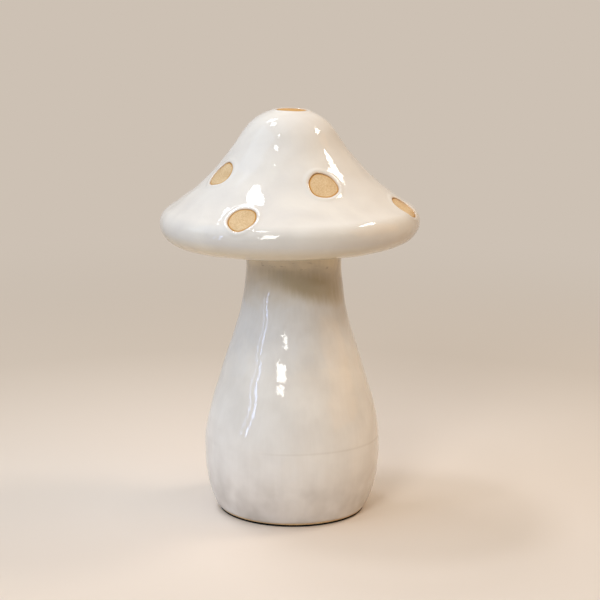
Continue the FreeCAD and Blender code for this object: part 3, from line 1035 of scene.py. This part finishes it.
@dataclass(frozen=True)
class Cap:
    """Cap: a hollow clay body and a glaze coat with a window at each bare spot.

    Heights are above the neck's trimmed top. The outline goes from the crown over the
    shoulder, down the hollow flank, round the rim and lip, and in along the underside.
    """

    crown_height: float = 88.6
    crown_radius: float = 88.8
    crown_half_width: float = 6.3
    shoulder_radius: float = 32.7
    flank_radius: float = 161.6
    cap_radius: float = 89.2
    rim_radius: float = 12.2
    rim_height: float = 11.1
    lip_radius: float = 24.5
    lip_angle: float = 55.3
    underside_rise: float = 10.0
    underside_width: float = 40.0
    seat_height: float = 0.6
    hole_radius: float = 33.2
    hole_band: float = 24.0
    opening_radius: float = 20.0
    coat: float = 0.8
    clay_inset: float = 0.9
    clay_wall: float = 4.5
    first_inner_row: float = 4.0
    lean: float = 1.2
    shift: float = 2.9
    neck_top: float = 192.0
    top_rows_start: float = 17.5
    columns: int = 288
    bead_height: float = 0.4
    bead_inset: float = 1.9
    bead_width: float = 1.4
    edge_roll: float = 0.3
    edge_round: float = 0.9
    spot_sunk: float = 0.42
    spot_step: float = 0.4
    top_sunk: float = 0.34
    unevenness: Waves = Waves(14.0, 50.0, seed=17)
    uneven_by: float = 0.12
    sand: Waves = Waves(1.6, 5.0, seed=3)
    sand_height: float = 0.02

    def outline(self) -> Outline:
        """Chain the arcs: the flank's centre lies where it touches both the shoulder and the rim.

        Returns:
            The glazed surface's profile.
        """
        step = self.crown_radius - self.shoulder_radius
        crown_angle = math.acos(self.crown_half_width / self.crown_radius)
        crown = complex(0, self.crown_height - self.crown_radius)
        shoulder = crown + step * np.exp(1j * crown_angle)
        rim = complex(self.cap_radius - self.rim_radius, self.rim_height)
        lip_angle = -math.radians(self.lip_angle)
        lip = rim - (self.lip_radius - self.rim_radius) * np.exp(1j * lip_angle)
        to_shoulder = self.flank_radius + self.shoulder_radius
        to_rim = self.flank_radius + self.rim_radius
        apart = abs(rim - shoulder)
        share = (to_shoulder**2 - to_rim**2 + apart**2) / (2 * apart**2)
        aside = math.sqrt(to_shoulder**2 - (share * apart) ** 2)
        flank = shoulder + (rim - shoulder) * (share + 1j * aside / apart)
        upper, lower = np.angle(flank - shoulder), np.angle(flank - rim)
        last = -math.pi / 2 - math.radians(self.underside_rise)
        lip_end = lip + self.lip_radius * np.exp(1j * last)
        slope = math.tan(math.radians(self.underside_rise))
        seat = lip_end.real - (self.seat_height - lip_end.imag) / slope
        return Outline([
            Arc(pair(crown), self.crown_radius, math.pi / 2, crown_angle),
            Arc(pair(shoulder), self.shoulder_radius, crown_angle, upper),
            Arc(pair(flank), -self.flank_radius, upper + math.pi, lower + math.pi),
            Arc(pair(rim), self.rim_radius, lower, lip_angle),
            Arc(pair(lip), self.lip_radius, lip_angle, last),
            Run(pair(lip_end), (seat, self.seat_height), (math.cos(last), math.sin(last))),
            Run((seat, self.seat_height), (self.opening_radius, self.seat_height), (0, -1)),
        ])

    def place(
        self, outline: Outline, along: Array, azimuth: Array, raised: Array | float = 0.0
    ) -> Array:
        """Turn the outline about the cap's axis, then lean the cap and slide it on the neck.

        Args:
            outline: Profile of the glazed surface.
            along: Distances down it.
            azimuth: Angles round the axis in radians.
            raised: How far out of the surface.

        Returns:
            Places in mm.
        """
        x, y, height = np.moveaxis(turned(*outline.at(along, raised), azimuth), -1, 0)
        cos, sin = math.cos(math.radians(self.lean)), math.sin(math.radians(self.lean))
        across, up = (x - self.shift) * cos - height * sin, (x - self.shift) * sin
        return np.stack([across, y, self.neck_top + up + height * cos], -1)

    def to_hole(self, outline: Outline, along: Array, azimuth: Array) -> Array:
        """Stretch the underside's rows, so that the last one runs round the neck, off the axis.

        Args:
            outline: Profile of the glazed surface.
            along: Distances down it, the last at the hole's nearest point to the axis.
            azimuth: Angles round the axis in radians.

        Returns:
            Distances along the outline, moved.
        """
        off = self.shift
        edge = off * np.sin(azimuth) + np.sqrt(self.hole_radius**2 - (off * np.cos(azimuth)) ** 2)
        under = outline.reach > outline.length - self.underside_width
        radii, reach = outline.points[under, 0][::-1], outline.reach[under][::-1]
        goal = np.interp(edge, radii, reach)
        last = along.max()
        start = last - self.hole_band
        moved = start + (along - start) * (goal - start) / (last - start)
        return np.where(along > start, moved, along)

    def build_glaze(self, glaze: Material) -> Piece:
        """Coat with windows: waves, a rolled bead at each window's edge, and an even back.

        Args:
            glaze: Its material.

        Returns:
            The glaze coat.
        """
        outline = self.outline()
        end = outline.length - (self.hole_radius - self.shift - self.opening_radius)
        surface = SpottedSurface(outline, self.top_rows_start, end, self.columns, Fill.WINDOW)
        where = outline, self.to_hole(outline, surface.along, surface.azimuth), surface.azimuth
        flat = self.place(*where)

        edge = surface.edge
        bead = self.bead_height * np.exp(-(((edge - self.bead_inset) / self.bead_width) ** 2))
        roll = -self.edge_roll * quarter_round(edge / self.edge_round)
        low, high = (np.array(corner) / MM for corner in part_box("cap_glaze"))
        headroom = np.minimum(high - flat, flat - low).min(-1)
        raised = np.minimum(self.uneven_by * self.unevenness.at(flat) + bead + roll, headroom)

        shell = Shell()
        front = shell.add(self.place(*where, raised), edge_mm=edge)
        back = shell.add(self.place(*where, -self.coat), edge_mm=edge)
        for faces in surface.faces:
            shell.faces += [front[faces], back[faces[:, ::-1]]]
        for rim in (*surface.rims, surface.last_row):
            shell.band(front[rim], back[rim])
        coat = shell.build("cap_coat", glaze)
        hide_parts("cap_glaze")
        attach(coat, "root")
        return coat

    def build_clay(self, clay: Material) -> Piece:
        """Clay body: its skin fills each window up to just under the glaze; its inside is plain.

        Args:
            clay: Its material.

        Returns:
            The clay body.
        """
        outline = self.outline()
        far = SpottedSurface.FAR
        surface = SpottedSurface(
            outline, self.top_rows_start, outline.length, self.columns, Fill.CLAY
        )
        where = outline, surface.along, surface.azimuth
        flat, edge = self.place(*where), surface.edge
        filled = self.clay_inset - self.spot_sunk
        raised = -self.clay_inset + filled * ease(-edge / self.spot_step)
        raised = raised + np.where(edge < 0, self.sand_height * self.sand.at(flat), 0.0)
        raised = np.minimum(raised, CAD_BOX[1][2] / MM - self.top_sunk - flat[:, 2])

        shell = Shell()
        skin = shell.add(self.place(*where, raised), edge_mm=edge)
        shell.faces += [skin[faces] for faces in surface.faces]
        for ring, pole in surface.poles:
            shell.fan(skin[ring], skin[pole])
        rows = outline.rows(self.first_inner_row, outline.length, coarse=4.0, turn=8.0)
        azimuth = around(self.columns)
        deep = -self.clay_inset - self.clay_wall
        within = self.place(outline, rows[:, None] + 0 * azimuth, azimuth, deep)
        inside = shell.add(within, edge_mm=far)
        shell.band(inside[1:], inside[:-1])
        shell.band(skin[surface.last_row], inside[-1])
        pole = shell.add(self.place(outline, np.zeros(1), np.zeros(1), deep), edge_mm=far)
        shell.fan(inside[0], pole[0])
        body = shell.build("cap_clay", clay)
        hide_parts("cap_body")
        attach(body, "root")
        return body


@dataclass(frozen=True)
class Lamp:
    """Soft rectangular lamp, aimed at the object from a distance."""

    name: str
    azimuth: float
    elevation: float
    distance: float
    width: float
    height: float
    power: float
    colour: str

    def build(self, aim: Vector) -> None:
        """Stand the lamp off along its azimuth and elevation and turn it to the aim.

        Args:
            aim: Point that it faces, in metres.
        """
        light = bpy.data.lights.new(self.name, "AREA")
        light.shape = "RECTANGLE"
        light.size, light.size_y = self.width, self.height
        light.energy = self.power
        light.color = linear(self.colour)[:3]
        turn, lift = math.radians(self.azimuth), math.radians(self.elevation)
        flat = math.cos(lift)
        away = Vector((math.sin(turn) * flat, -math.cos(turn) * flat, math.sin(lift)))
        lamp = into_scene(self.name, light)
        lamp.location = aim + away * self.distance
        lamp.rotation_euler = away.to_track_quat("Z", "Y").to_euler()


@dataclass(frozen=True)
class Studio:
    """Plain pale floor, soft lamps, even surrounding light and the camera."""

    floor_half: float = 9.0
    near_tone: str = "#E6DBD1"
    middle_tone: str = "#CDC1B4"
    backdrop: str = "#CDC1B4"
    dim_tone: str = "#6A6259"
    middle: Fade = Fade(130, 480)
    dimming: Fade = Fade(170, 500)
    far: Fade = Fade(250, 1100)
    tooth: Noise = Noise(2.0, 2.0)
    tooth_depth: float = 0.1
    low_light: float = 0.15
    high_light: float = 0.56
    high_from: float = 0.8
    behind_from: float = 0.6
    left_tint: str = "#F2F2EB"
    right_tint: str = "#F8E3B8"
    right_range: Pair = (0.1, 0.9)
    lens: float = 108.25
    sensor: float = 36.0
    clip: Pair = (0.05, 50.0)
    camera_place: Triple = (0.0045, -1.225, 0.404)
    pitch: float = 11.81
    roll: float = 0.62
    aim: Triple = (0.0, 0.0, 0.15)
    lamps: tuple[Lamp, ...] = (
        Lamp("front_left", -18, 28, 1.8, 0.42, 0.60, 10.5, "#FFFDF8"),
        Lamp("left_strip", -59, 8, 1.6, 0.07, 0.46, 1.05, "#B0C8FF"),
        Lamp("left_frame", -67, 8, 1.6, 0.035, 0.42, 0.34, "#B0C8FF"),
        Lamp("left_high", -104, 68, 1.6, 0.30, 0.22, 4.4, "#F6F8FF"),
        Lamp("left_back", -138, 60, 1.6, 0.34, 0.30, 3.6, "#F6F8FF"),
        Lamp("right_high", 107, 50.3, 1.6, 0.34, 0.21, 4.8, "#FFF4E6"),
        Lamp("left_window", -78, 38, 2.6, 2.4, 1.8, 13.5, "#C4DFFF"),
        Lamp("right_bounce", 84, 24, 2.2, 2.0, 1.6, 9.2, "#FFB450"),
        Lamp("left_sliver", -39, 60, 1.6, 0.07, 0.15, 0.9, "#FFFFFF"),
        Lamp("right_sliver", 49, 34, 1.6, 0.12, 0.10, 0.5, "#FFFFFF"),
    )

    def build(self) -> None:
        """Make floor, surroundings, lamps and camera in turn."""
        self._floor()
        self._surroundings()
        for lamp in self.lamps:
            lamp.build(Vector(self.aim))
        self._camera()

    def _floor(self) -> None:
        """Flat square; where it goes far back, the camera sees its paper as the plain backdrop."""
        half = self.floor_half
        mesh = bpy.data.meshes.new("floor")
        corners = [(-half, -half, 0), (half, -half, 0), (half, half, 0), (-half, half, 0)]
        mesh.from_pydata(corners, [], [(0, 1, 2, 3)])
        floor = into_scene("floor", mesh)
        node = Nodes(bpy.data.materials.new("studio_paper_matt"))
        distance = node.add("VectorMath", (node.place,), out="Value", operation="LENGTH")
        outward = node.add("MapRange", self.middle.of(distance))
        paper = node.add("Mix", {0: outward, 6: self.near_tone, 7: self.middle_tone}, **COLOURS)
        fade = node.add("MapRange", self.dimming.of(distance), **SOFT)
        ray = node.add("LightPath").node.outputs
        glancing = ray["Is Glossy Ray"], ray["Is Transmission Ray"]
        mirrored = node.add("Math", glancing, operation="MAXIMUM")
        seen = node.add("Math", (ray["Is Camera Ray"], mirrored), operation="MAXIMUM")
        spread = node.add("Math", (fade, seen), operation="SUBTRACT", use_clamp=True)
        tone = node.add("Mix", {0: spread, 6: paper, 7: self.dim_tone}, **COLOURS)
        tooth = node.add("TexNoise", self.tooth.at(node.place))
        depth = self.tooth_depth * MM
        bump = node.add("Bump", {"Height": tooth, "Strength": 0.15, "Distance": depth})
        matt = node.add("BsdfPrincipled", {"Base Color": tone, "Normal": bump, "Roughness": 0.8})
        far = node.add("MapRange", self.far.of(distance), **SOFT)
        sweep = node.add("Math", (far, seen), operation="MULTIPLY")
        plain = node.add("Emission", (self.backdrop, 1.0))
        surface = node.add("MixShader", (sweep, matt, plain))
        node.add("OutputMaterial", (surface,))
        mesh.materials.append(node.owner)

    def _surroundings(self) -> None:
        """Light grows from the horizon up; camera and glaze see a plain backdrop behind."""
        world = bpy.data.worlds.new("surroundings")
        bpy.context.scene.world = world
        node = Nodes(world)
        ray = node.add("LightPath").node.outputs
        way = node.add("SeparateXYZ", (node.place.node.outputs["Generated"],)).node.outputs
        strengths = self.low_light, self.high_light
        level = node.add("MapRange", (way["Z"], 0.0, self.high_from, *strengths), **SOFT)
        back = node.add("MapRange", (way["Y"], 0.0, self.behind_from))
        glancing = ray["Is Glossy Ray"], ray["Is Transmission Ray"]
        mirrored = node.add("Math", glancing, operation="MAXIMUM")
        shown = node.add(
            "Math", (mirrored, back, ray["Is Camera Ray"]), operation="MULTIPLY_ADD", use_clamp=True
        )
        right = node.add("MapRange", (way["X"], *self.right_range))
        tint = node.add("Mix", {0: right, 6: self.left_tint, 7: self.right_tint}, **COLOURS)
        lit = node.add("Background", (tint, level))
        behind = node.add("Background", (self.backdrop, 1.0))
        mix = node.add("MixShader", (shown, lit, behind))
        node.add("OutputWorld", (mix,))

    def _camera(self) -> None:
        """Camera at the photograph's place, pitched down and rolled a little."""
        camera = bpy.data.cameras.new("camera")
        camera.lens = self.lens
        camera.sensor_width = self.sensor
        camera.clip_start, camera.clip_end = self.clip
        made = into_scene("camera", camera)
        pitched = Matrix.Rotation(math.radians(90 - self.pitch), 4, "X")
        rolled = Matrix.Rotation(math.radians(self.roll), 4, "Z")
        made.matrix_world = Matrix.Translation(self.camera_place) @ pitched @ rolled
        bpy.context.scene.camera = made


def dress(node: str, material: Material) -> None:
    """Give a solid that stays visible its material.

    Args:
        node: Name of the solid.
        material: Material that it gets.
    """
    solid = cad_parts[node]
    solid.data.materials.clear()
    solid.data.materials.append(material)


def main() -> None:
    """Build the ornament from the foot up, then the studio round it."""
    logging.basicConfig(level=logging.INFO, format="%(message)s")
    bpy.context.scene.view_settings.view_transform = "Standard"
    dress("stalk_body", BareClay().make())
    dress("slip_seam", DriedSlip().make())
    cap = Cap()
    made = (
        FootPad().build(Felt().make()),
        Stalk().build(StalkGlaze().make()),
        cap.build_clay(BareClay(has_edge=True).make()),
        cap.build_glaze(CapGlaze().make()),
    )
    for piece in made:
        triangles = sum(len(face.vertices) - 2 for face in piece.data.polygons)
        LOG.info("%s: %d triangles", piece.name, triangles)
    Studio().build()


if __name__ == "__main__":
    main()
